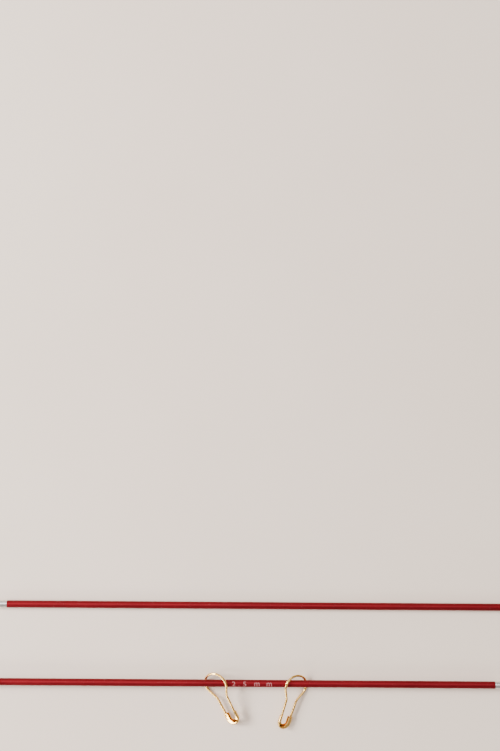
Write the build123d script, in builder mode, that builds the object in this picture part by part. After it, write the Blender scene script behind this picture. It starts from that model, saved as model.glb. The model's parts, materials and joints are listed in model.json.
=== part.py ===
"""A pair of double pointed knitting needles, with two pear-shaped pin markers hung on one of them.

Frame: X runs along the needles, Z is up from the table that everything lies on, and the origin is on the
table under the middle of the whole set. The heel needle is nearer (-Y) and rests on the two markers that are
looped round it, and the instep needle lies on the table behind it. All sizes are in millimetres.
"""

import os
from math import asin, atan2, cos, degrees, hypot, radians, sin

from build123d import *

os.makedirs("parts", exist_ok=True)

# Needles: a solid rod with a drilled socket in each end, and a turned tip glued into each socket
needle_diameter = 2.5
needle_length = 200.0
tip_length = 13.0  # what shows of a tip, from the rod's end to the point
tip_straight = 5.0  # to where the taper starts, before that corner is rounded
tip_shoulder_radius = 30.0
tip_nose_radius = 0.35
edge_break = 0.08
spigot_diameter = 1.4
spigot_length = 7.5
spigot_chamfer = 0.2
socket_gap = 0.02  # glue line round the spigot
socket_depth = 8.0

needle_spacing = 26.7
needle_stagger = 4.5  # the instep needle lies this much further right
heel_axis_height = 2.59  # it rests on the wire of both markers

# Pear-shaped pin marker, drawn flat: u runs from the crown of its loop to the cap, v across it
wire_diameter = 0.8
marker_length = 20.0
loop_radius = 4.0
loop_corner_v = 6.7  # where the crown and the loop's side would meet if they were not rounded
neck_u, neck_v = 8.9, 2.05
neck_radius = 2.0
leg_end_v = 1.75  # the legs close in a little towards the cap
fixed_leg_end_u = 17.4  # as far as the cap's round end lets its square-cut end go
pin_leg_end_u = 18.2
pin_point_length = 2.4
pin_point_diameter = 0.16
crown_gap = 0.17  # between the two halves of the wire, so that the pin half can turn

cap_sheet = 0.25
cap_half_width = 2.53
cap_wire_gap = 0.03  # in front of the wire and behind it
cap_mouth_u = 15.0
cap_notch_half_width = 1.0
cap_lip = 0.23  # how far the cap's rim curls over the pin
cap_window_end_u = 18.7
cap_edge_radius = 0.1
release_slant = 40.0  # from the crown's own line towards the front, so that the pin leg moves in as it lifts

# How each marker lies on the table, with one wire under the needle and the other over it
left_lie = {
    "heading": 27.0,
    "roll": 30.22,
    "dip": 2.811,
    "crown_height": 2.666,
    "neck_x": -9.8,
    "neck_drop": 4.86,
}
right_lie = {
    "heading": -17.5,
    "roll": 30.235,
    "dip": 2.813,
    "crown_height": 2.667,
    "neck_x": 14.3,
    "neck_drop": 5.75,
}
set_depth_front = 16.118  # from the heel needle's axis to the nearest point of a marker that lies like this

# Worked out from the above
needle_radius = needle_diameter / 2
wire_radius = wire_diameter / 2
shaft_length = needle_length - 2 * tip_length
cap_half_height = wire_radius + cap_wire_gap + cap_sheet
cap_round_u = marker_length - wire_radius - cap_half_width  # centre of the cap's round end
heel_axis_y = (set_depth_front - needle_spacing - needle_radius) / 2
heel_centre = Vector(-needle_stagger / 2, heel_axis_y, heel_axis_height)
instep_centre = Vector(needle_stagger / 2, heel_axis_y + needle_spacing, needle_radius)


def save(part, name):
    """Labels a finished piece and writes it to its own file."""
    part.label = name
    export_step(part, f"parts/{name}.step")
    box = part.bounding_box()
    print(f"{name:28s} {part.volume:8.3f} mm3  {box.min}  {box.max}")
    return part


def needle_shaft(name, centre):
    """The coloured rod of a needle, with a blind socket drilled in each end."""
    across = Plane(origin=centre, x_dir=(0, 1, 0), z_dir=(1, 0, 0))
    with BuildPart() as shaft:
        with BuildSketch(across):
            Circle(needle_radius)
        extrude(amount=shaft_length / 2, both=True)
        chamfer(shaft.edges().filter_by(GeomType.CIRCLE), edge_break)
        with Locations(shaft.faces().sort_by(Axis.X)[0], shaft.faces().sort_by(Axis.X)[-1]):
            Hole(spigot_diameter / 2 + socket_gap, depth=socket_depth)
    return save(shaft.part, name)


def needle_tip(name, centre, side):
    """A turned tip: a spigot for the socket, a short straight, a long taper and a round nose.

    side is -1 for the needle's left end and 1 for its right end.
    """
    joint = centre + Vector(side * shaft_length / 2, 0, 0)
    profile_plane = Plane(origin=joint, x_dir=(side, 0, 0), z_dir=(0, -side, 0))
    nose_x = tip_length - tip_nose_radius
    run = nose_x - tip_straight
    taper = atan2(needle_radius, run) - asin(tip_nose_radius / hypot(needle_radius, run))
    nose_start = (nose_x + tip_nose_radius * sin(taper), tip_nose_radius * cos(taper))
    spigot_radius = spigot_diameter / 2
    with BuildPart() as tip:
        with BuildSketch(profile_plane):
            with BuildLine():
                Polyline(
                    (tip_length, 0),
                    (-spigot_length, 0),
                    (-spigot_length, spigot_radius - spigot_chamfer),
                    (spigot_chamfer - spigot_length, spigot_radius),
                    (0, spigot_radius),
                    (0, needle_radius - edge_break),
                    (edge_break, needle_radius),
                )
                FilletPolyline(
                    (edge_break, needle_radius),
                    (tip_straight, needle_radius),
                    nose_start,
                    radius=tip_shoulder_radius,
                )
                CenterArc((nose_x, 0), tip_nose_radius, 0, 90 - degrees(taper))
            make_face()
        revolve(axis=Axis(joint, (1, 0, 0)))
    return save(tip.part, name)


def marker_plane(lie, side):
    """The plane a marker is drawn in: origin at the crown, local X towards the cap, and local Z to its front.

    lie holds the heading (from -Y towards +X), the roll about the marker's length, the dip of its cap end,
    the height of its crown, and where its neck is. side is 1 where the pin leg is the marker's local +Y leg,
    and -1 where the marker is the mirror image.
    """
    heading, dip = radians(lie["heading"]), radians(lie["dip"])
    level = Vector(sin(heading), -cos(heading), 0)
    along = level * cos(dip) - Vector(0, 0, sin(dip))
    upright = level * sin(dip) + Vector(0, 0, cos(dip))
    neck = Vector(lie["neck_x"], heel_axis_y - lie["neck_drop"], lie["crown_height"])
    return Plane(
        origin=neck - level * neck_u,
        x_dir=along,
        z_dir=upright.rotate(Axis((0, 0, 0), along), side * lie["roll"]),
    )


def half_wire_route(side, end_u):
    """Half of the wire's centre line, from the crown round the loop and down one leg, in its plane."""
    end_v = neck_v + (leg_end_v - neck_v) * (end_u - neck_u) / (pin_leg_end_u - neck_u)
    return FilletPolyline(
        (0, side * crown_gap / 2),
        (0, side * loop_corner_v),
        (neck_u, side * neck_v),
        (end_u, side * end_v),
        radius=[loop_radius, neck_radius],
    )


def fixed_wire(name, plane, side):
    """The half of the wire that is crimped in the cap, with a plain cut end."""
    with BuildPart() as wire:
        with BuildLine(plane) as route:
            half_wire_route(-side, fixed_leg_end_u)
        with BuildSketch(Plane(origin=route.line @ 0, z_dir=route.line % 0)):
            Circle(wire_radius)
        sweep(path=route.line)
    return save(wire.part, name)


def pin_wire(name, plane, side):
    """The springy half of the wire, ground to a point that hooks into the cap."""
    grind = degrees(atan2((wire_diameter - pin_point_diameter) / 2, pin_point_length))
    with BuildPart() as pin:
        with BuildLine(plane) as route:
            half_wire_route(side, pin_leg_end_u - pin_point_length)
        with BuildSketch(Plane(origin=route.line @ 0, z_dir=route.line % 0)):
            Circle(wire_radius)
        sweep(path=route.line)
        with BuildSketch(Plane(origin=route.line @ 1, z_dir=route.line % 1)):
            Circle(wire_radius)
        extrude(amount=pin_point_length, taper=grind)
    return save(pin.part, name)


def round_ended_strip(half_width, mouth_u):
    """Adds to the open sketch a strip along the marker, with a round end that shares the cap's centre."""
    with Locations(((mouth_u + cap_round_u) / 2, 0)):
        Rectangle(cap_round_u - mouth_u, 2 * half_width)
    with Locations((cap_round_u, 0)):
        Circle(half_width)


def cap(name, plane, side):
    """The folded sheet cap: a U-shaped channel, closed over the fixed leg and open over the pin but for a lip."""
    inner_half_width = cap_half_width - cap_sheet
    inner_half_height = cap_half_height - cap_sheet
    window_top_v = inner_half_width - cap_lip
    past_mouth_u = cap_mouth_u - 1
    with BuildPart() as shell:
        with BuildSketch(plane.offset(-cap_half_height)):
            round_ended_strip(cap_half_width, cap_mouth_u)
        extrude(amount=2 * cap_half_height)
        fillet(shell.faces().filter_by(plane).edges(), cap_edge_radius)
        with BuildSketch(plane.offset(-inner_half_height)):
            round_ended_strip(inner_half_width, past_mouth_u)
        extrude(amount=2 * inner_half_height, mode=Mode.SUBTRACT)
        with BuildSketch(plane.offset(-cap_half_height)):
            round_ended_strip(cap_notch_half_width, past_mouth_u)
        extrude(amount=2 * cap_half_height, mode=Mode.SUBTRACT)
        with BuildSketch(plane.offset(inner_half_height)):
            with Locations(((past_mouth_u + cap_window_end_u) / 2, side * window_top_v / 2)):
                Rectangle(cap_window_end_u - past_mouth_u, window_top_v)
        extrude(amount=cap_sheet, mode=Mode.SUBTRACT)
    return save(shell.part, name)


def marker(name, lie, side):
    """One pear-shaped pin marker: its fixed wire, its pin wire and its cap."""
    plane = marker_plane(lie, side)
    fixed_wire(f"{name}_fixed_wire", plane, side)
    pin_wire(f"{name}_pin_wire", plane, side)
    cap(f"{name}_cap", plane, side)
    slant = radians(release_slant)
    release = plane.y_dir * -side * cos(slant) - plane.z_dir * sin(slant)
    print(f"{name} pin hinge at {plane.origin} along {release * side}")


def main():
    """Builds every piece of the set."""
    for needle, centre in (("heel_needle", heel_centre), ("instep_needle", instep_centre)):
        needle_shaft(f"{needle}_shaft", centre)
        needle_tip(f"{needle}_left_tip", centre, -1)
        needle_tip(f"{needle}_right_tip", centre, 1)
    marker("left_marker", left_lie, 1)
    marker("right_marker", right_lie, -1)


main()
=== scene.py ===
"""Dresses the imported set: two double pointed knitting needles, and two pin markers looped round one of them.

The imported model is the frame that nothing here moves: X runs along the needles and the table top is at Z = 0.
Every solid of the frame gets a finely modelled piece in its place, and each marker's two half wires become
the one bent wire that they are in life. Sizes are in metres.
"""

import json
import logging
import math
from collections.abc import Callable, Sequence
from dataclasses import dataclass
from enum import Enum

import bpy
from mathutils import Matrix, Vector

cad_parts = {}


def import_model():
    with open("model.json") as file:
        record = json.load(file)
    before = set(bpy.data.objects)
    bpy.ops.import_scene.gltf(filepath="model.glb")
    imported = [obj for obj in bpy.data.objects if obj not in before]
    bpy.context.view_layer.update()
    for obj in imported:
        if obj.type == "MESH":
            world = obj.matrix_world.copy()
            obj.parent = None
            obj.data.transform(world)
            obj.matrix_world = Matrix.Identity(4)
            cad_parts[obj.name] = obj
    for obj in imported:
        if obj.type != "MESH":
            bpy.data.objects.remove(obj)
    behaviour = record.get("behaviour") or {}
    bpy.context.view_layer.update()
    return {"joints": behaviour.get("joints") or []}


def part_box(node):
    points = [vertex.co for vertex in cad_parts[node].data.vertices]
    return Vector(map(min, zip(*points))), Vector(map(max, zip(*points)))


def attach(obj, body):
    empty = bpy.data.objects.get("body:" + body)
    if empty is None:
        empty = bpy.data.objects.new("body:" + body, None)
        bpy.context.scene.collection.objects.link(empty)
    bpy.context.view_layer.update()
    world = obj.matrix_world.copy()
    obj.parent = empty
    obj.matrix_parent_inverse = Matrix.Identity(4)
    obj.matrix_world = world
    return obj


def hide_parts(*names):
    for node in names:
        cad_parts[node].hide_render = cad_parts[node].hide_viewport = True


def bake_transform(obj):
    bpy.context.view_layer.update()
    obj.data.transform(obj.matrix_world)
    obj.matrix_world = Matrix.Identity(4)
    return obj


MM = 0.001
NEAR = 1e-6  # points nearer than this to each other are taken as one
LOG = logging.getLogger("needles")


class Side(Enum):
    """Which end of a needle, or which leg of a marker seen from its front."""

    LEFT = -1
    RIGHT = 1


class Slot(Enum):
    """The record's material slots."""

    ROD = "red_anodised"
    TIP = "nickel_tip"
    WIRE = "brass_wire"
    CAP = "brass_cap"


# ---------------------------------------------------------------- modelling by operators


def clear_selection() -> None:
    """Leaves edit mode and selects nothing."""
    if bpy.context.object is not None and bpy.context.object.mode != "OBJECT":
        bpy.ops.object.mode_set(mode="OBJECT")
    bpy.ops.object.select_all(action="DESELECT")


def take_up(obj: bpy.types.Object) -> None:
    """Makes an object the only selected one, and the active one.

    Args:
        obj: the object.
    """
    clear_selection()
    obj.select_set(True)
    bpy.context.view_layer.objects.active = obj


def named(name: str) -> bpy.types.Object:
    """Gives the active object, which an operator has just made, its name.

    Args:
        name: the piece's name.

    Returns:
        The object.
    """
    obj = bpy.context.object
    obj.name = obj.data.name = name
    return obj


def apply_place() -> None:
    """Moves the selected object's place into its mesh."""
    bpy.ops.object.transform_apply(location=True, rotation=True, scale=True)


def select_edges(obj: bpy.types.Object, wanted: Callable[[Vector, Vector], bool]) -> None:
    """Goes into edit mode on an object with just the wanted edges selected.

    Args:
        obj: the object.
        wanted: judges an edge by its two ends.
    """
    take_up(obj)
    bpy.ops.object.mode_set(mode="EDIT")
    bpy.ops.mesh.select_mode(type="EDGE")
    bpy.ops.mesh.select_all(action="DESELECT")
    bpy.ops.object.mode_set(mode="OBJECT")
    points = obj.data.vertices
    for edge in obj.data.edges:
        edge.select = wanted(points[edge.vertices[0]].co, points[edge.vertices[1]].co)
    bpy.ops.object.mode_set(mode="EDIT")


def settle(
    obj: bpy.types.Object, place: Matrix | None = None, smooth_below: float = 32.0
) -> bpy.types.Object:
    """Closes a piece's seams, turns its faces outwards, shades it, and applies its place.

    Args:
        obj: the piece.
        place: where it goes, when it was modelled at the origin.
        smooth_below: edges flatter than this many degrees are shaded smooth.

    Returns:
        The piece, with its object at the origin.
    """
    take_up(obj)
    bpy.ops.object.mode_set(mode="EDIT")
    bpy.ops.mesh.select_all(action="SELECT")
    bpy.ops.mesh.remove_doubles(threshold=NEAR)
    bpy.ops.object.mode_set(mode="OBJECT")
    if place is not None:
        obj.matrix_world = place @ obj.matrix_world
    apply_place()
    bpy.ops.object.mode_set(mode="EDIT")
    bpy.ops.mesh.select_all(action="SELECT")
    bpy.ops.mesh.normals_make_consistent(inside=False)
    bpy.ops.object.mode_set(mode="OBJECT")
    bpy.ops.object.shade_smooth_by_angle(angle=math.radians(smooth_below))
    return obj


def apply_modifiers(obj: bpy.types.Object) -> None:
    """Applies every modifier of an object, in order.

    Args:
        obj: the object.
    """
    take_up(obj)
    for modifier in list(obj.modifiers):
        bpy.ops.object.modifier_apply(modifier=modifier.name)


def cut_away(obj: bpy.types.Object, cutter: bpy.types.Object) -> None:
    """Takes a cutter's shape out of an object, and throws the cutter away.

    Args:
        obj: the object that is cut.
        cutter: the object that cuts it.
    """
    cut = obj.modifiers.new("cut", "BOOLEAN")
    cut.operation, cut.solver, cut.object = "DIFFERENCE", "EXACT", cutter
    apply_modifiers(obj)
    bpy.data.objects.remove(cutter)


def turned(
    name: str, centre: Vector, profile: Sequence[tuple[float, float]], way: int = 1, sides: int = 72
) -> bpy.types.Object:
    """Turns a round piece on an axis along X, ring by ring, as on a lathe.

    Args:
        name: the piece's name.
        centre: the point on the axis that the profile counts from.
        profile: distance along the axis and radius of each ring.
        way: 1 where the profile runs towards +X, -1 where it runs the other way.
        sides: how many faces go round.

    Returns:
        The piece.
    """
    clear_selection()
    along, radius = profile[0]
    bpy.ops.mesh.primitive_circle_add(
        vertices=sides,
        radius=radius,
        fill_type="NGON",
        location=centre + Vector((way * along, 0, 0)),
        rotation=(0, math.pi / 2, 0),
    )
    piece = named(name)
    apply_place()
    bpy.ops.object.mode_set(mode="EDIT")
    bpy.ops.mesh.select_all(action="SELECT")
    for next_along, next_radius in profile[1:]:
        step = (way * (next_along - along), 0, 0)
        bpy.ops.mesh.extrude_region_move(TRANSFORM_OT_translate={"value": step})
        ratio = next_radius / radius
        ring_centre = centre + Vector((way * next_along, 0, 0))
        bpy.ops.transform.resize(value=(1, ratio, ratio), center_override=ring_centre)
        along, radius = next_along, next_radius
    return settle(piece)


def mark_edges(obj: bpy.types.Object, least: float = 12.0, full: float = 70.0) -> None:
    """Stores how sharp each point's corner is, from 0 to 1, as the attribute that wear follows.

    Args:
        obj: the piece.
        least: the angle between faces, in degrees, that still counts as 0.
        full: how many degrees more count as 1.
    """
    mesh = obj.data
    around: dict[int, list[Vector]] = {}
    for face in mesh.polygons:
        for point in face.vertices:
            around.setdefault(point, []).append(face.normal)
    sharp = mesh.attributes.new("edge_sharpness", "FLOAT", "POINT")
    for point, normals in around.items():
        widest = max((normals[0].angle(other, 0.0) for other in normals[1:]), default=0.0)
        sharp.data[point].value = max(0.0, min(1.0, (math.degrees(widest) - least) / full))


# ---------------------------------------------------------------- shader effects

Socket = bpy.types.NodeSocket
Colour = tuple[float, float, float, float]


class Sheet:
    """A node tree that is being drawn up, with short words for adding and joining nodes."""

    def __init__(self, tree: bpy.types.NodeTree) -> None:
        """Starts on an empty tree."""
        self.tree = tree
        self.tree.nodes.clear()

    def add(self, kind: str, inputs: dict | None = None, **settings: object) -> bpy.types.Node:
        """Adds a node.

        Args:
            kind: the node's type, without the leading ShaderNode.
            inputs: input name or number to the value or socket that it gets.
            settings: the node's own properties.

        Returns:
            The node.
        """
        node = self.tree.nodes.new(kind if kind.startswith("Node") else f"ShaderNode{kind}")
        for key, value in settings.items():
            setattr(node, key, value)
        for key, value in (inputs or {}).items():
            self.feed(node.inputs[key], value)
        return node

    def feed(self, socket: Socket, value: object) -> None:
        """Links a socket to another one, or sets its value.

        Args:
            socket: the input.
            value: the other socket, or the value.
        """
        if isinstance(value, Socket):
            self.tree.links.new(value, socket)
        else:
            socket.default_value = value

    def noise(self, vector: Socket, scale: float, detail: float = 3.0, rough: float = 0.55) -> Socket:
        """Adds a noise texture and returns its value."""
        values = {"Vector": vector, "Scale": scale, "Detail": detail, "Roughness": rough}
        return self.add("TexNoise", values).outputs["Fac"]

    def spread(
        self, value: Socket, low: float, high: float, to_low: object = 0.0, to_high: object = 1.0
    ) -> Socket:
        """Stretches the part of a value between low and high over a new range, and clamps the rest."""
        values = {0: value, 1: low, 2: high, 3: to_low, 4: to_high}
        return self.add("MapRange", values, clamp=True).outputs[0]

    def maths(self, operation: str, *values: object) -> Socket:
        """Adds a Math node and returns its result."""
        return self.add("Math", dict(enumerate(values)), operation=operation).outputs[0]

    def mix(self, share: object, first: object, second: object) -> Socket:
        """Mixes two colours and returns the result."""
        values = {0: share, 6: first, 7: second}
        return self.add("Mix", values, data_type="RGBA").outputs[2]


def start_effect(
    name: str, inputs: dict[str, str], outputs: Sequence[str]
) -> tuple[Sheet, bpy.types.NodeOutputs, bpy.types.NodeInputs]:
    """Starts a node group for an effect that several finishes share.

    Args:
        name: the effect's name.
        inputs: name and socket type of each input.
        outputs: name of each output, all of them values.

    Returns:
        The sheet that it is drawn on, what it is given, and what it puts out.
    """
    tree = bpy.data.node_groups.new(name, "ShaderNodeTree")
    for label, kind in inputs.items():
        tree.interface.new_socket(name=label, in_out="INPUT", socket_type=kind)
    for label in outputs:
        tree.interface.new_socket(name=label, in_out="OUTPUT", socket_type="NodeSocketFloat")
    sheet = Sheet(tree)
    return sheet, sheet.add("NodeGroupInput").outputs, sheet.add("NodeGroupOutput").inputs


@dataclass(frozen=True)
class DrawnLines:
    """Fine lines of uneven strength from a drawing die or a lathe, drawn out by stretched coordinates."""

    detail: float = 4.0
    breakup: float = 0.65
    faint: float = 0.3
    strong: float = 0.7

    def build(self) -> bpy.types.NodeTree:
        """Makes the group.

        Returns:
            The group: Vector and Contrast in, Lines out.
        """
        inputs = {"Vector": "NodeSocketVector", "Contrast": "NodeSocketFloat"}
        sheet, given, out = start_effect("Drawn Lines", inputs, ("Lines",))
        fine = sheet.noise(given["Vector"], 1.0, self.detail, self.breakup)
        low = sheet.maths("MULTIPLY_ADD", given["Contrast"], -0.5, 0.5)
        high = sheet.maths("MULTIPLY_ADD", given["Contrast"], 0.5, 0.5)
        sheet.feed(out["Lines"], sheet.spread(fine, self.faint, self.strong, low, high))
        return sheet.tree


@dataclass(frozen=True)
class HandlingMarks:
    """What hands leave: broad smudges, and hair-thin curved scratches in patches."""

    smudge_scale: float = 260.0
    smudge_span: tuple[float, float] = (0.38, 0.66)
    scratch_scale: float = 420.0
    scratch_curl: float = 3.2
    scratch_width: float = 0.003
    patch_scale: float = 330.0
    patch_span: tuple[float, float] = (0.5, 0.62)

    def build(self) -> bpy.types.NodeTree:
        """Makes the group.

        Returns:
            The group: Vector in, Smudge and Scratches out.
        """
        outputs = ("Smudge", "Scratches")
        sheet, given, out = start_effect("Handling Marks", {"Vector": "NodeSocketVector"}, outputs)
        place = given["Vector"]
        smudge = sheet.noise(place, self.smudge_scale, 4.0, 0.6)
        sheet.feed(out["Smudge"], sheet.spread(smudge, *self.smudge_span))
        curl = {"Vector": place, "Scale": self.scratch_scale, "Detail": 2.0, "Distortion": self.scratch_curl}
        warp = sheet.add("TexNoise", curl).outputs["Fac"]
        off_line = sheet.maths("ABSOLUTE", sheet.maths("SUBTRACT", warp, 0.5))
        lines = sheet.spread(off_line, 0.0, self.scratch_width, 1.0, 0.0)
        patches = sheet.spread(sheet.noise(place, self.patch_scale, 2.0, 0.5), *self.patch_span)
        sheet.feed(out["Scratches"], sheet.maths("MULTIPLY", lines, patches))
        return sheet.tree


@dataclass(frozen=True)
class EdgeWear:
    """Where a finish is rubbed away: broken patches along the sharp edges."""

    scale: float = 1500.0
    span: tuple[float, float] = (0.22, 0.5)

    def build(self) -> bpy.types.NodeTree:
        """Makes the group.

        Returns:
            The group: Vector and Amount in, Bare out.
        """
        inputs = {"Vector": "NodeSocketVector", "Amount": "NodeSocketFloat"}
        sheet, given, out = start_effect("Edge Wear", inputs, ("Bare",))
        sharp = sheet.add("Attribute", attribute_name="edge_sharpness").outputs["Fac"]
        broken = sheet.noise(given["Vector"], self.scale, 5.0, 0.7)
        worn = sheet.maths("MULTIPLY", sheet.maths("MULTIPLY", sharp, broken), given["Amount"])
        sheet.feed(out["Bare"], sheet.spread(worn, *self.span))
        return sheet.tree


@dataclass(frozen=True)
class Dust:
    """Pale specks that lie on what faces up."""

    scale: float = 6500.0
    speck_span: tuple[float, float] = (0.71, 0.78)
    upward_span: tuple[float, float] = (0.2, 0.9)

    def build(self) -> bpy.types.NodeTree:
        """Makes the group.

        Returns:
            The group: Vector and Amount in, Dust out.
        """
        inputs = {"Vector": "NodeSocketVector", "Amount": "NodeSocketFloat"}
        sheet, given, out = start_effect("Dust", inputs, ("Dust",))
        upward = sheet.add("SeparateXYZ", {0: sheet.add("NewGeometry").outputs["Normal"]}).outputs["Z"]
        specks = sheet.spread(sheet.noise(given["Vector"], self.scale, 2.0, 0.5), *self.speck_span)
        lying = sheet.maths("MULTIPLY", sheet.spread(upward, *self.upward_span), specks)
        sheet.feed(out["Dust"], sheet.maths("MULTIPLY", lying, given["Amount"]))
        return sheet.tree


class Effects:
    """The effects that several finishes share, each a node group that is built once."""

    def __init__(self) -> None:
        """Builds the four groups."""
        self.drawn = DrawnLines().build()
        self.handling = HandlingMarks().build()
        self.wear = EdgeWear().build()
        self.dust = Dust().build()


# ---------------------------------------------------------------- finishes


class Finish:
    """What every finish shares: a material with a Principled shader on a sheet of nodes."""

    def __init__(self, name: str) -> None:
        """Makes the material and the nodes that any finish needs.

        Args:
            name: the material's name.
        """
        self.material = bpy.data.materials.new(name)
        self.material.use_nodes = True
        self.sheet = Sheet(self.material.node_tree)
        self.shader = self.sheet.add("BsdfPrincipled")
        output = self.sheet.add("OutputMaterial")
        self.sheet.feed(output.inputs["Surface"], self.shader.outputs[0])
        self.place = self.sheet.add("TexCoord").outputs["Object"]

    def stretched(self, scale: Sequence[float]) -> Socket:
        """Returns the piece's own coordinates, scaled along each axis."""
        return self.sheet.add("Mapping", {"Vector": self.place, "Scale": scale}).outputs[0]

    def effect(self, group: bpy.types.NodeTree, **values: object) -> bpy.types.NodeOutputs:
        """Places a shared effect.

        Args:
            group: one of the Effects.
            values: what its inputs get.

        Returns:
            Its outputs.
        """
        node = self.sheet.add("Group", node_tree=group)
        for key, value in {"Vector": self.place, **values}.items():
            self.sheet.feed(node.inputs[key], value)
        return node.outputs

    def bump(self, height: Socket, strength: float, depth: float) -> None:
        """Gives the surface a relief of this height map."""
        relief = self.sheet.add("Bump", {"Height": height, "Strength": strength, "Distance": depth})
        self.sheet.feed(self.shader.inputs["Normal"], relief.outputs["Normal"])

    def set(self, **values: object) -> None:
        """Sets or links sockets of the shader, named with _ for a space."""
        for key, value in values.items():
            self.sheet.feed(self.shader.inputs[key.replace("_", " ")], value)


@dataclass(frozen=True)
class RedAnodising:
    """Dyed anodising over drawn aluminium: satin, with fine lines along the rod."""

    deep: Colour = (0.155, 0.0035, 0.008, 1)
    light: Colour = (0.25, 0.007, 0.013, 1)
    bare: Colour = (0.8, 0.79, 0.77, 1)
    dust: Colour = (0.7, 0.66, 0.62, 1)
    lines_across: float = 9000.0
    lines_along: float = 45.0
    patch_scale: float = 90.0
    metal: float = 0.9
    satin: tuple[float, float] = (0.42, 0.54)
    relief: float = 0.004 * MM

    def build(self, effects: Effects) -> bpy.types.Material:
        """Makes the material.

        Args:
            effects: the shared effects.

        Returns:
            The material.
        """
        coat = Finish("red anodising")
        sheet = coat.sheet
        drawn = coat.stretched((self.lines_along, self.lines_across, self.lines_across))
        lines = coat.effect(effects.drawn, Vector=drawn, Contrast=0.9)["Lines"]
        marks = coat.effect(effects.handling)
        bare = coat.effect(effects.wear, Amount=1.0)["Bare"]
        dust = coat.effect(effects.dust, Amount=0.5)["Dust"]
        patch = sheet.spread(sheet.noise(coat.place, self.patch_scale), 0.3, 0.7)
        lightness = sheet.maths("MULTIPLY_ADD", lines, 0.6, sheet.maths("MULTIPLY", patch, 0.4))
        worn = sheet.mix(bare, sheet.mix(lightness, self.deep, self.light), self.bare)
        smudged = sheet.spread(marks["Smudge"], 0, 1, *self.satin)
        coat.set(
            Base_Color=sheet.mix(dust, worn, self.dust),
            Metallic=sheet.spread(dust, 0.0, 1.0, self.metal, 0.0),
            Roughness=sheet.maths("ADD", smudged, sheet.maths("MULTIPLY", lines, 0.06)),
            Coat_Weight=0.05,
            Coat_Roughness=0.2,
        )
        scratches = sheet.maths("MULTIPLY", marks["Scratches"], 0.8)
        coat.bump(sheet.maths("SUBTRACT", lines, scratches), 0.25, self.relief)
        return coat.material


@dataclass(frozen=True)
class PolishedNickel:
    """Nickel plate over a turned tip, with faint rings from the lathe."""

    plate: Colour = (0.79, 0.77, 0.74, 1)
    stained: Colour = (0.6, 0.575, 0.54, 1)
    dust: Colour = (0.7, 0.67, 0.63, 1)
    rings_along: float = 16000.0
    rings_across: float = 90.0
    polish: tuple[float, float] = (0.14, 0.27)
    relief: float = 0.003 * MM

    def build(self, effects: Effects) -> bpy.types.Material:
        """Makes the material.

        Args:
            effects: the shared effects.

        Returns:
            The material.
        """
        plate = Finish("polished nickel")
        sheet = plate.sheet
        lathe = plate.stretched((self.rings_along, self.rings_across, self.rings_across))
        rings = plate.effect(effects.drawn, Vector=lathe, Contrast=0.8)["Lines"]
        marks = plate.effect(effects.handling)
        dust = plate.effect(effects.dust, Amount=0.35)["Dust"]
        colour = sheet.mix(sheet.maths("MULTIPLY", marks["Smudge"], 0.35), self.plate, self.stained)
        plate.set(
            Base_Color=sheet.mix(dust, colour, self.dust),
            Metallic=sheet.spread(dust, 0.0, 1.0, 1.0, 0.1),
            Roughness=sheet.spread(marks["Smudge"], 0, 1, *self.polish),
        )
        plate.bump(sheet.maths("SUBTRACT", rings, marks["Scratches"]), 0.2, self.relief)
        return plate.material


@dataclass(frozen=True)
class BrightBrass:
    """Bright brass, as drawn wire or as folded sheet, that browns a little where it isn't rubbed."""

    name: str
    bright: Colour = (0.87, 0.55, 0.165, 1)
    browned: Colour = (0.5, 0.22, 0.04, 1)
    polish: float = 0.1
    smudging: float = 0.14
    grain: Sequence[float] = (1500.0, 1500.0, 1500.0)
    tarnish_scale: float = 700.0
    tarnish_span: tuple[float, float] = (0.42, 0.72)
    tarnish_depth: float = 0.4
    relief: float = 0.004 * MM

    def build(self, effects: Effects) -> bpy.types.Material:
        """Makes the material.

        Args:
            effects: the shared effects.

        Returns:
            The material.
        """
        brass = Finish(self.name)
        sheet = brass.sheet
        grain = brass.effect(effects.drawn, Vector=brass.stretched(self.grain), Contrast=0.9)["Lines"]
        marks = brass.effect(effects.handling)
        rubbed = brass.effect(effects.wear, Amount=1.3)["Bare"]
        patches = sheet.spread(sheet.noise(brass.place, self.tarnish_scale), *self.tarnish_span)
        tarnish = sheet.maths("MULTIPLY", patches, self.tarnish_depth)
        kept = sheet.maths("MULTIPLY", tarnish, sheet.maths("SUBTRACT", 1.0, rubbed))
        smudged = sheet.maths("MULTIPLY", marks["Smudge"], self.smudging)
        brass.set(
            Base_Color=sheet.mix(kept, self.bright, self.browned),
            Metallic=1.0,
            Roughness=sheet.maths("ADD", smudged, self.polish),
        )
        scratches = sheet.maths("MULTIPLY", marks["Scratches"], 0.5)
        brass.bump(sheet.maths("SUBTRACT", grain, scratches), 0.22, self.relief)
        return brass.material


@dataclass(frozen=True)
class WhiteInk:
    """Pad-printed white ink that has worn thin in places."""

    fresh: Colour = (0.45, 0.18, 0.18, 1)
    thin: Colour = (0.34, 0.05, 0.06, 1)
    wear_scale: float = 3500.0
    wear_span: tuple[float, float] = (0.5, 0.68)
    matt: tuple[float, float] = (0.45, 0.6)
    relief: float = 0.002 * MM

    def build(self, effects: Effects) -> bpy.types.Material:
        """Makes the material.

        Args:
            effects: the shared effects.

        Returns:
            The material.
        """
        ink = Finish("white ink")
        sheet = ink.sheet
        marks = ink.effect(effects.handling)
        worn = sheet.spread(sheet.noise(ink.place, self.wear_scale, 4.0, 0.7), *self.wear_span)
        ink.set(
            Base_Color=sheet.mix(worn, self.fresh, self.thin),
            Roughness=sheet.spread(marks["Smudge"], 0, 1, *self.matt),
        )
        ink.bump(worn, 0.3, self.relief)
        return ink.material


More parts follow.
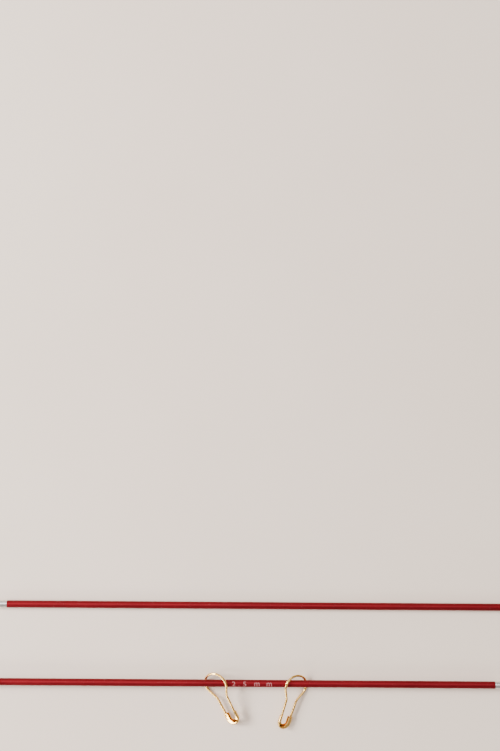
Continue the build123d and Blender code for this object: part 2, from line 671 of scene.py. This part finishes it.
@dataclass(frozen=True)
class TablePaint:
    """The pale, matt paint of the table."""

    pale: Colour = (0.84, 0.69, 0.575, 1)
    paler: Colour = (0.87, 0.72, 0.605, 1)
    cloud_scale: float = 14.0
    grain_scale: float = 2500.0
    roughness: float = 0.55
    relief: float = 0.02 * MM

    def build(self) -> bpy.types.Material:
        """Makes the material.

        Returns:
            The material.
        """
        paint = Finish("table paint")
        sheet = paint.sheet
        cloud = sheet.spread(sheet.noise(paint.place, self.cloud_scale), 0.3, 0.7)
        paint.set(Base_Color=sheet.mix(cloud, self.pale, self.paler), Roughness=self.roughness)
        paint.bump(sheet.noise(paint.place, self.grain_scale, 2.0), 0.06, self.relief)
        return paint.material


# ---------------------------------------------------------------- the needles


@dataclass
class Needle:
    """One double pointed needle: a coloured rod with a turned tip let into each end."""

    name: str
    finishes: dict[Slot, bpy.types.Material]
    radius: float = 1.25 * MM
    edge_break: float = 0.08 * MM
    edge_middle: float = 0.024 * MM  # how far in the middle of the broken edge lies, which rounds it
    edge_land: float = 0.24 * MM  # where the last ring stands, to keep the edge's shading off the rest
    socket_radius: float = 0.72 * MM
    socket_depth: float = 8.0 * MM
    socket_floor_radius: float = 0.02 * MM
    spigot_radius: float = 0.7 * MM
    spigot_length: float = 7.5 * MM
    spigot_chamfer: float = 0.2 * MM
    tip_straight: float = 5.0 * MM
    tip_shoulder_radius: float = 30.0 * MM
    tip_nose_radius: float = 0.35 * MM
    tip_end_radius: float = 0.01 * MM
    shoulder_steps: int = 6
    nose_steps: int = 8

    def __post_init__(self) -> None:
        """Reads the rod's place from the frame."""
        low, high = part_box(f"{self.name}_shaft")
        self.centre = (low + high) / 2
        self.half_rod = (high.x - low.x) / 2

    def build(self) -> list[bpy.types.Object]:
        """Builds the rod and both tips.

        Returns:
            The pieces.
        """
        return [self.rod(), *(self.tip(side) for side in Side)]

    def rod(self) -> bpy.types.Object:
        """Turns the rod, from the bottom of one socket, over its outside, to the bottom of the other.

        Returns:
            The rod.
        """
        socket_floor = self.half_rod - self.socket_depth
        half = [
            (socket_floor, self.socket_floor_radius),
            (socket_floor, self.socket_radius),
            (self.half_rod, self.socket_radius),
            (self.half_rod, self.radius - self.edge_break),
            (self.half_rod - self.edge_middle, self.radius - self.edge_middle),
            (self.half_rod - self.edge_break, self.radius),
            (self.half_rod - self.edge_land, self.radius),
        ]
        profile = [(-along, radius) for along, radius in half] + half[::-1]
        rod = turned(f"{self.name}_rod", self.centre, profile)
        return self.dress(rod, Slot.ROD, f"{self.name}_shaft")

    def tip(self, side: Side) -> bpy.types.Object:
        """Turns one tip: spigot, straight, long taper and round nose.

        Args:
            side: the needle's end that it is for.

        Returns:
            The tip.
        """
        node = f"{self.name}_{side.name.lower()}_tip"
        low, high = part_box(node)
        joint = self.centre + Vector((side.value * self.half_rod, 0, 0))
        length = abs((high if side is Side.RIGHT else low).x - joint.x)
        nose = length - self.tip_nose_radius
        run = nose - self.tip_straight
        slope = math.asin(self.tip_nose_radius / math.hypot(self.radius, run))
        taper = math.atan2(self.radius, run) - slope
        reach = self.tip_shoulder_radius * math.tan(taper / 2)
        profile = [
            (-self.spigot_length, self.spigot_radius - self.spigot_chamfer),
            (self.spigot_chamfer - self.spigot_length, self.spigot_radius),
            (0, self.spigot_radius),
            (0, self.radius - self.edge_break),
            (self.edge_middle, self.radius - self.edge_middle),
            (self.edge_break, self.radius),
            (self.edge_land, self.radius),
        ]
        for step in range(self.shoulder_steps + 1):
            turn = taper * step / self.shoulder_steps
            along = self.tip_straight - reach + self.tip_shoulder_radius * math.sin(turn)
            profile.append((along, self.radius - self.tip_shoulder_radius * (1 - math.cos(turn))))
        for step in range(self.nose_steps):
            turn = taper + (math.pi / 2 - taper) * step / self.nose_steps
            along = nose + self.tip_nose_radius * math.sin(turn)
            profile.append((along, self.tip_nose_radius * math.cos(turn)))
        profile.append((length, self.tip_end_radius))
        piece = turned(f"{node}_turned", joint, profile, side.value)
        return self.dress(piece, Slot.TIP, node)

    def dress(self, piece: bpy.types.Object, slot: Slot, node: str) -> bpy.types.Object:
        """Gives a piece its finish and its body, and hides the CAD node that it stands for.

        Args:
            piece: the piece.
            slot: the material slot that it takes its finish from.
            node: the CAD node.

        Returns:
            The piece.
        """
        mark_edges(piece)
        piece.data.materials.append(self.finishes[slot])
        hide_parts(node)
        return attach(piece, self.name)


@dataclass(frozen=True)
class Glyph:
    """One printed character: where its middle is along the rod, and its width and height."""

    character: str
    middle: float
    width: float
    height: float


@dataclass
class SizeMark:
    """The needle's size, printed along the rod in widely spaced characters that stand on one line."""

    needle: Needle
    ink: bpy.types.Material
    glyphs: Sequence[Glyph] = (
        Glyph("2", -5.8 * MM, 1.1 * MM, 1.65 * MM),
        Glyph(".", -4.0 * MM, 0.28 * MM, 0.28 * MM),
        Glyph("5", -2.0 * MM, 1.1 * MM, 1.65 * MM),
        Glyph("m", 2.25 * MM, 1.75 * MM, 1.35 * MM),
        Glyph("m", 6.5 * MM, 1.75 * MM, 1.35 * MM),
    )
    line: float = -0.82 * MM
    lean: float = math.radians(2)
    sunk: float = 0.006 * MM
    proud: float = 0.008 * MM
    strip: float = 0.09 * MM
    type_thickness: float = 0.5  # of the type as it is set, before it is scaled to its place
    type_thinning: float = 0.008

    def build(self) -> bpy.types.Object:
        """Sets the characters, cuts them into strips, and wraps them round the rod.

        Returns:
            The print.
        """
        flat = [self.set_glyph(glyph) for glyph in self.glyphs]
        take_up(flat[0])
        for glyph in flat[1:]:
            glyph.select_set(True)
        bpy.ops.object.join()
        mark = named(f"{self.needle.name}_size_print")
        self.cut_in_strips(mark)
        axis = self.needle.centre
        radius = self.needle.radius
        for point in mark.data.vertices:
            turn = self.lean + point.co.y / radius
            out = radius - self.sunk + point.co.z
            point.co = (point.co.x, axis.y + out * math.sin(turn), axis.z + out * math.cos(turn))
        settle(mark)
        mark.data.materials.append(self.ink)
        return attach(mark, self.needle.name)

    def set_glyph(self, glyph: Glyph) -> bpy.types.Object:
        """Makes one flat character as a thin mesh, X along the rod and Y across it.

        Args:
            glyph: the character and its measures.

        Returns:
            The character's mesh, with its place in it.
        """
        clear_selection()
        bpy.ops.object.text_add()
        flat = named("glyph")
        flat.data.body = glyph.character
        flat.data.extrude = self.type_thickness
        flat.data.offset = -self.type_thinning
        bpy.ops.object.convert(target="MESH")
        points = flat.data.vertices
        low = [min(p.co[axis] for p in points) for axis in range(3)]
        high = [max(p.co[axis] for p in points) for axis in range(3)]
        wanted = (glyph.width, glyph.height, self.sunk + self.proud)
        scale = Matrix.Diagonal([size / (b - a) for size, a, b in zip(wanted, low, high)] + [1])
        corner = Matrix.Translation((glyph.middle - glyph.width / 2, self.line, 0))
        flat.data.transform(corner @ scale @ Matrix.Translation([-a for a in low]))
        return flat

    def cut_in_strips(self, mark: bpy.types.Object) -> None:
        """Cuts the flat characters across at even heights, so that they can follow the rod's curve.

        Args:
            mark: the joined characters.
        """
        take_up(mark)
        bpy.ops.object.mode_set(mode="EDIT")
        tallest = max(glyph.height for glyph in self.glyphs)
        for cut in range(1, int(tallest / self.strip)):
            bpy.ops.mesh.select_all(action="SELECT")
            bpy.ops.mesh.bisect(plane_co=(0, self.line + cut * self.strip, 0), plane_no=(0, 1, 0))
        bpy.ops.object.mode_set(mode="OBJECT")


# ---------------------------------------------------------------- the pin markers


@dataclass
class PinMarker:
    """A pear-shaped pin marker: one bent wire with a ground point, and a folded sheet cap.

    It is modelled flat, with X from the crown of its loop to the cap, Y across it and Z its front, and then
    laid in its place, with its crown where the frame has the pin leg's hinge.
    """

    name: str
    pin_side: Side
    heading: float
    roll: float
    dip: float
    crown: Vector
    finishes: dict[Slot, bpy.types.Material]
    wire_radius: float = 0.4 * MM
    length: float = 20.0 * MM
    loop_radius: float = 4.0 * MM
    loop_corner: float = 6.7 * MM
    neck: tuple[float, float] = (8.9 * MM, 2.05 * MM)
    neck_radius: float = 2.0 * MM
    pin_end: tuple[float, float] = (18.2 * MM, 1.75 * MM)
    fixed_end: float = 17.4 * MM
    point_length: float = 2.4 * MM
    point_radius: float = 0.08 * MM
    point_rings: tuple[float, ...] = (0.12, 0.3, 0.5, 0.7, 0.86, 0.95, 1.0)
    point_hollow: float = 1.15  # above 1 the grind starts gently
    cap_half_width: float = 2.53 * MM
    cap_half_height: float = 0.68 * MM
    cap_sheet: float = 0.25 * MM
    cap_mouth: float = 15.0 * MM
    cap_notch: float = 1.0 * MM
    cap_lip: float = 0.23 * MM
    cap_window_end: float = 18.7 * MM
    cap_window_overlap: float = 0.45 * MM
    cap_window_outer_radius: float = 0.9 * MM
    cap_window_inner_radius: float = 0.6 * MM
    cap_rim: float = 0.55 * MM
    cap_edge_softening: float = 0.035 * MM
    cutter_overrun: float = 1.0 * MM  # how far what cuts the cap reaches out of its mouth
    crimps: tuple[float, float] = (15.85 * MM, 16.95 * MM)
    crimp_across: float = 1.62 * MM
    crimp_ball: float = 0.55 * MM
    crimp_depth: float = 0.09 * MM
    bend_reach: float = 1.2 * MM
    bend_step: float = 0.25 * MM
    wire_sides: int = 32
    cap_sides: int = 96

    def __post_init__(self) -> None:
        """Works out where the flat marker is laid."""
        level = Vector((math.sin(self.heading), -math.cos(self.heading), 0))
        up = Vector((0, 0, 1))
        along = level * math.cos(self.dip) - up * math.sin(self.dip)
        upright = level * math.sin(self.dip) + up * math.cos(self.dip)
        front = Matrix.Rotation(self.pin_side.value * self.roll, 3, along) @ upright
        turn = Matrix((along, front.cross(along), front)).transposed().to_4x4()
        self.place = Matrix.Translation(self.crown) @ turn

    def build(self) -> list[bpy.types.Object]:
        """Builds the wire and the cap.

        Returns:
            The pieces.
        """
        return [self.wire(), self.cap()]

    def wire(self) -> bpy.types.Object:
        """Bends the wire from its cut end, round the loop, to its point, by extruding and spinning a circle.

        Returns:
            The wire.
        """
        side = self.pin_side.value
        neck = Vector((*self.neck, 0))
        corner = Vector((0, self.loop_corner, 0))
        slope = (self.pin_end[1] - neck.y) / (self.pin_end[0] - neck.x)
        fixed = Vector((self.fixed_end, neck.y + slope * (self.fixed_end - neck.x), 0))
        grind = Vector((self.pin_end[0] - self.point_length, self.pin_end[1] - slope * self.point_length, 0))
        flip = Matrix.Diagonal((1, -1, 1))
        route = [flip @ p for p in (fixed, neck, corner)] + [corner, neck, grind]
        radii = (self.neck_radius, self.loop_radius, self.loop_radius, self.neck_radius)
        clear_selection()
        heading = (route[1] - route[0]).normalized()
        bpy.ops.mesh.primitive_circle_add(
            vertices=self.wire_sides,
            radius=self.wire_radius,
            fill_type="NGON",
            location=route[0],
            rotation=heading.to_track_quat("Z", "Y").to_euler(),
        )
        piece = named(f"{self.name}_wire")
        apply_place()
        bpy.ops.object.mode_set(mode="EDIT")
        bpy.ops.mesh.select_all(action="SELECT")
        here = route[0]
        for before, bend, after, radius in zip(route, route[1:], route[2:], radii):
            come, go = (bend - before).normalized(), (after - bend).normalized()
            turn = come.angle(go)
            way = 1 if come.cross(go).z > 0 else -1
            start = bend - come * radius * math.tan(turn / 2)
            centre = start + Vector((-come.y, come.x, 0)) * radius * way
            bpy.ops.mesh.extrude_region_move(TRANSFORM_OT_translate={"value": start - here})
            steps = max(4, round(turn * radius / self.bend_step))
            bpy.ops.mesh.spin(steps=steps, angle=turn, center=centre, axis=(0, 0, -way))
            here = bend + go * radius * math.tan(turn / 2)
        bpy.ops.mesh.extrude_region_move(TRANSFORM_OT_translate={"value": grind - here})
        self.grind_point(grind, (grind - neck).normalized())
        settle(piece, self.place @ Matrix.Diagonal((1, side, 1, 1)))
        mark_edges(piece)
        piece.data.materials.append(self.finishes[Slot.WIRE])
        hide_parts(f"{self.name}_fixed_wire", f"{self.name}_pin_wire")
        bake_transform(piece)
        return piece

    def grind_point(self, start: Vector, heading: Vector) -> None:
        """Draws the selected end of the wire out to its ground point.

        Args:
            start: where the grinding starts, on the wire's axis.
            heading: the way the wire runs there.
        """
        at, radius = start, self.wire_radius
        for share in self.point_rings:
            next_at = start + heading * self.point_length * share
            ground = (self.point_radius - self.wire_radius) * share**self.point_hollow
            bpy.ops.mesh.extrude_region_move(TRANSFORM_OT_translate={"value": next_at - at})
            ratio = (self.wire_radius + ground) / radius
            bpy.ops.transform.resize(value=(ratio, ratio, ratio), center_override=next_at)
            at, radius = next_at, self.wire_radius + ground

    def strip(
        self, name: str, half_width: float, half_height: float, mouth: float, rim: float = 0.0
    ) -> bpy.types.Object:
        """Makes a block with a round end, the shape that the cap, its hollow and its notch share.

        Args:
            name: the object's name.
            half_width: half its width, and its round end's radius.
            half_height: half its height, along the marker's front.
            mouth: where its square end is.
            rim: how far its front and back edges are rounded, all but the two across its mouth.

        Returns:
            The block.
        """
        round_centre = self.length - self.wire_radius - self.cap_half_width
        clear_selection()
        bpy.ops.mesh.primitive_circle_add(
            vertices=self.cap_sides,
            radius=half_width,
            fill_type="NGON",
            location=(round_centre, 0, -half_height),
        )
        block = named(name)
        apply_place()
        for point in block.data.vertices:
            if point.co.x < round_centre - 0.1 * NEAR:
                point.co = (mouth, math.copysign(half_width, point.co.y), point.co.z)
        bpy.ops.object.mode_set(mode="EDIT")
        bpy.ops.mesh.select_all(action="SELECT")
        bpy.ops.mesh.remove_doubles(threshold=NEAR)
        bpy.ops.mesh.extrude_region_move(TRANSFORM_OT_translate={"value": (0, 0, 2 * half_height)})
        settle(block)
        if rim:
            select_edges(
                block,
                lambda a, b: min(abs(a.z), abs(b.z)) > half_height - NEAR
                and a.z * b.z > 0
                and max(a.x, b.x) > mouth + NEAR,
            )
            bpy.ops.mesh.bevel(offset=rim, segments=7, profile=0.5, affect="EDGES")
            settle(block)
        return block

    def cap(self) -> bpy.types.Object:
        """Folds the cap: a rounded shell with an open mouth, a notch, crimps, and a window over the pin.

        Returns:
            The cap.
        """
        side = self.pin_side.value
        inner_width = self.cap_half_width - self.cap_sheet
        inner_height = self.cap_half_height - self.cap_sheet
        past_mouth = self.cap_mouth - self.cutter_overrun
        shell = self.strip(
            f"{self.name}_folded_cap",
            self.cap_half_width,
            self.cap_half_height,
            self.cap_mouth,
            self.cap_rim,
        )
        hollow = self.strip("hollow", inner_width, inner_height, past_mouth, self.cap_rim - self.cap_sheet)
        cut_away(shell, hollow)
        cut_away(shell, self.strip("notch", self.cap_notch, 2 * self.cap_half_height, past_mouth))
        cut_away(shell, self.window(side, inner_width - self.cap_lip, inner_height * 0.5, past_mouth))
        soften = shell.modifiers.new("sheet edges", "BEVEL")
        soften.width, soften.segments, soften.limit_method = self.cap_edge_softening, 2, "ANGLE"
        soften.angle_limit = math.radians(38)
        apply_modifiers(shell)
        for along in self.crimps:
            cut_away(shell, self.dimple(along, -side * self.crimp_across))
        settle(shell, self.place, smooth_below=40)
        shell.modifiers.new("flat sheet", "WEIGHTED_NORMAL").keep_sharp = True
        apply_modifiers(shell)
        mark_edges(shell)
        shell.data.materials.append(self.finishes[Slot.CAP])
        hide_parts(f"{self.name}_cap")
        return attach(shell, self.name)

    def window(self, side: int, far_edge: float, low: float, past_mouth: float) -> bpy.types.Object:
        """Makes the block that opens the cap's front over the pin.

        Args:
            side: 1 or -1, for the side that the pin leg is on.
            far_edge: where the lip over the pin starts, across the marker.
            low: how deep the block reaches, along the marker's front.
            past_mouth: where its open end is.

        Returns:
            The block, with its two inner corners rounded.
        """
        clear_selection()
        high = 2 * self.cap_half_height
        near_edge = -self.cap_window_overlap
        bpy.ops.mesh.primitive_cube_add(
            size=1,
            location=(
                (past_mouth + self.cap_window_end) / 2,
                side * (near_edge + far_edge) / 2,
                (low + high) / 2,
            ),
            scale=(self.cap_window_end - past_mouth, far_edge - near_edge, high - low),
        )
        block = named("window")
        apply_place()
        end = self.cap_window_end - NEAR
        for outer, radius in ((True, self.cap_window_outer_radius), (False, self.cap_window_inner_radius)):
            select_edges(
                block,
                lambda a, b: min(a.x, b.x) > end and abs(a.z - b.z) > NEAR and (side * a.y > 0) == outer,
            )
            bpy.ops.mesh.bevel(offset=radius, segments=8, affect="EDGES")
        return settle(block)

    def dimple(self, along: float, across: float) -> bpy.types.Object:
        """Makes the ball whose dent crimps the cap on the fixed leg.

        Args:
            along: its place from the crown towards the cap.
            across: its place across the marker.

        Returns:
            The ball.
        """
        clear_selection()
        height = self.cap_half_height + self.crimp_ball - self.crimp_depth
        bpy.ops.mesh.primitive_uv_sphere_add(
            segments=32, ring_count=16, radius=self.crimp_ball, location=(along, across, height)
        )
        return settle(named("dimple"))


# ---------------------------------------------------------------- table, light and camera


@dataclass(frozen=True)
class SoftLight:
    """A square lamp: its name, its place, the length of its side, and its power in watts."""

    name: str
    place: tuple[float, float, float]
    size: float
    power: float

    def hang(self, target: Vector) -> None:
        """Hangs the lamp so that it faces a point.

        Args:
            target: the point.
        """
        lamp = bpy.data.lights.new(self.name, "AREA")
        lamp.shape, lamp.size, lamp.energy = "SQUARE", self.size, self.power
        holder = bpy.data.objects.new(self.name, lamp)
        bpy.context.scene.collection.objects.link(holder)
        holder.location = self.place
        holder.rotation_euler = (target - Vector(self.place)).to_track_quat("-Z", "Y").to_euler()


@dataclass
class Studio:
    """The table, the light and the camera: a window on the left in three parts, and an even room."""

    look_at: Vector
    lights: Sequence[SoftLight] = (
        SoftLight("window_light", (-0.8, 0.28, 0.52), 0.3, 17.5),
        SoftLight("side_light", (-0.8, -0.1, 0.48), 0.2, 4.5),
        SoftLight("front_light", (-0.69, -0.63, 0.37), 0.26, 5.0),
        SoftLight("room_light", (-0.15, 0.65, 1.2), 1.1, 10.5),
    )
    lit_point: Vector = Vector((0, 0.05, 0)).freeze()
    room_colour: Colour = (1.0, 0.955, 0.91, 1)
    room_strength: float = 0.5
    table_size: float = 12.0
    table_drop: float = 0.00002  # keeps the table out of the faces that touch it
    sensor_width: float = 36.0
    camera_height: float = 0.4
    view_height: float = 0.262
    camera_roll: float = math.radians(0.4)

    def build(self) -> None:
        """Builds all three."""
        self.table()
        self.light()
        self.camera()

    def table(self) -> None:
        """Lays the table top, which isn't part of the object."""
        clear_selection()
        bpy.ops.mesh.primitive_plane_add(size=self.table_size, location=(0, 0, -self.table_drop))
        top = named("table_top")
        apply_place()
        top.data.materials.append(TablePaint().build())

    def light(self) -> None:
        """Hangs the lamps, and lights the room evenly."""
        for lamp in self.lights:
            lamp.hang(self.lit_point)
        world = bpy.data.worlds.new("room")
        world.use_nodes = True
        background = world.node_tree.nodes["Background"]
        background.inputs["Color"].default_value = self.room_colour
        background.inputs["Strength"].default_value = self.room_strength
        bpy.context.scene.world = world

    def camera(self) -> None:
        """Hangs the camera straight above the middle of the view."""
        lens = bpy.data.cameras.new("overhead")
        lens.sensor_width = self.sensor_width
        lens.lens = lens.sensor_width * self.camera_height / self.view_height
        lens.clip_start, lens.clip_end = 0.01, 10
        holder = bpy.data.objects.new("overhead", lens)
        bpy.context.scene.collection.objects.link(holder)
        holder.location = self.look_at + Vector((0, 0, self.camera_height))
        holder.rotation_euler = (0, 0, self.camera_roll)
        bpy.context.scene.camera = holder


def main() -> None:
    """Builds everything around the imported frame."""
    logging.basicConfig(level=logging.INFO, format="%(name)s: %(message)s")
    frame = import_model()
    effects = Effects()
    finishes = {
        Slot.ROD: RedAnodising().build(effects),
        Slot.TIP: PolishedNickel().build(effects),
        Slot.WIRE: BrightBrass("brass wire").build(effects),
        Slot.CAP: BrightBrass("brass sheet", polish=0.13, grain=(900.0, 2600.0, 2600.0)).build(effects),
    }
    crowns = {joint["child"]: Vector(joint["pos_m"]) for joint in frame["joints"] if joint["type"] == "hinge"}
    heel = Needle("heel_needle", finishes)
    instep = Needle("instep_needle", finishes)
    left = PinMarker(
        "left_marker",
        Side.RIGHT,
        heading=math.radians(27.0),
        roll=math.radians(30.22),
        dip=math.radians(2.811),
        crown=crowns["left_marker_pin"],
        finishes=finishes,
    )
    right = PinMarker(
        "right_marker",
        Side.LEFT,
        heading=math.radians(-17.5),
        roll=math.radians(30.235),
        dip=math.radians(2.813),
        crown=crowns["right_marker_pin"],
        finishes=finishes,
    )
    for assembly in (heel, instep, left, right):
        for piece in assembly.build():
            LOG.info("%s: %d faces", piece.name, len(piece.data.polygons))
    mark = SizeMark(heel, WhiteInk().build(effects)).build()
    LOG.info("%s: %d faces", mark.name, len(mark.data.polygons))
    Studio(look_at=Vector((-0.0009, heel.centre.y + 0.1067, 0))).build()


if __name__ == "__main__":
    main()
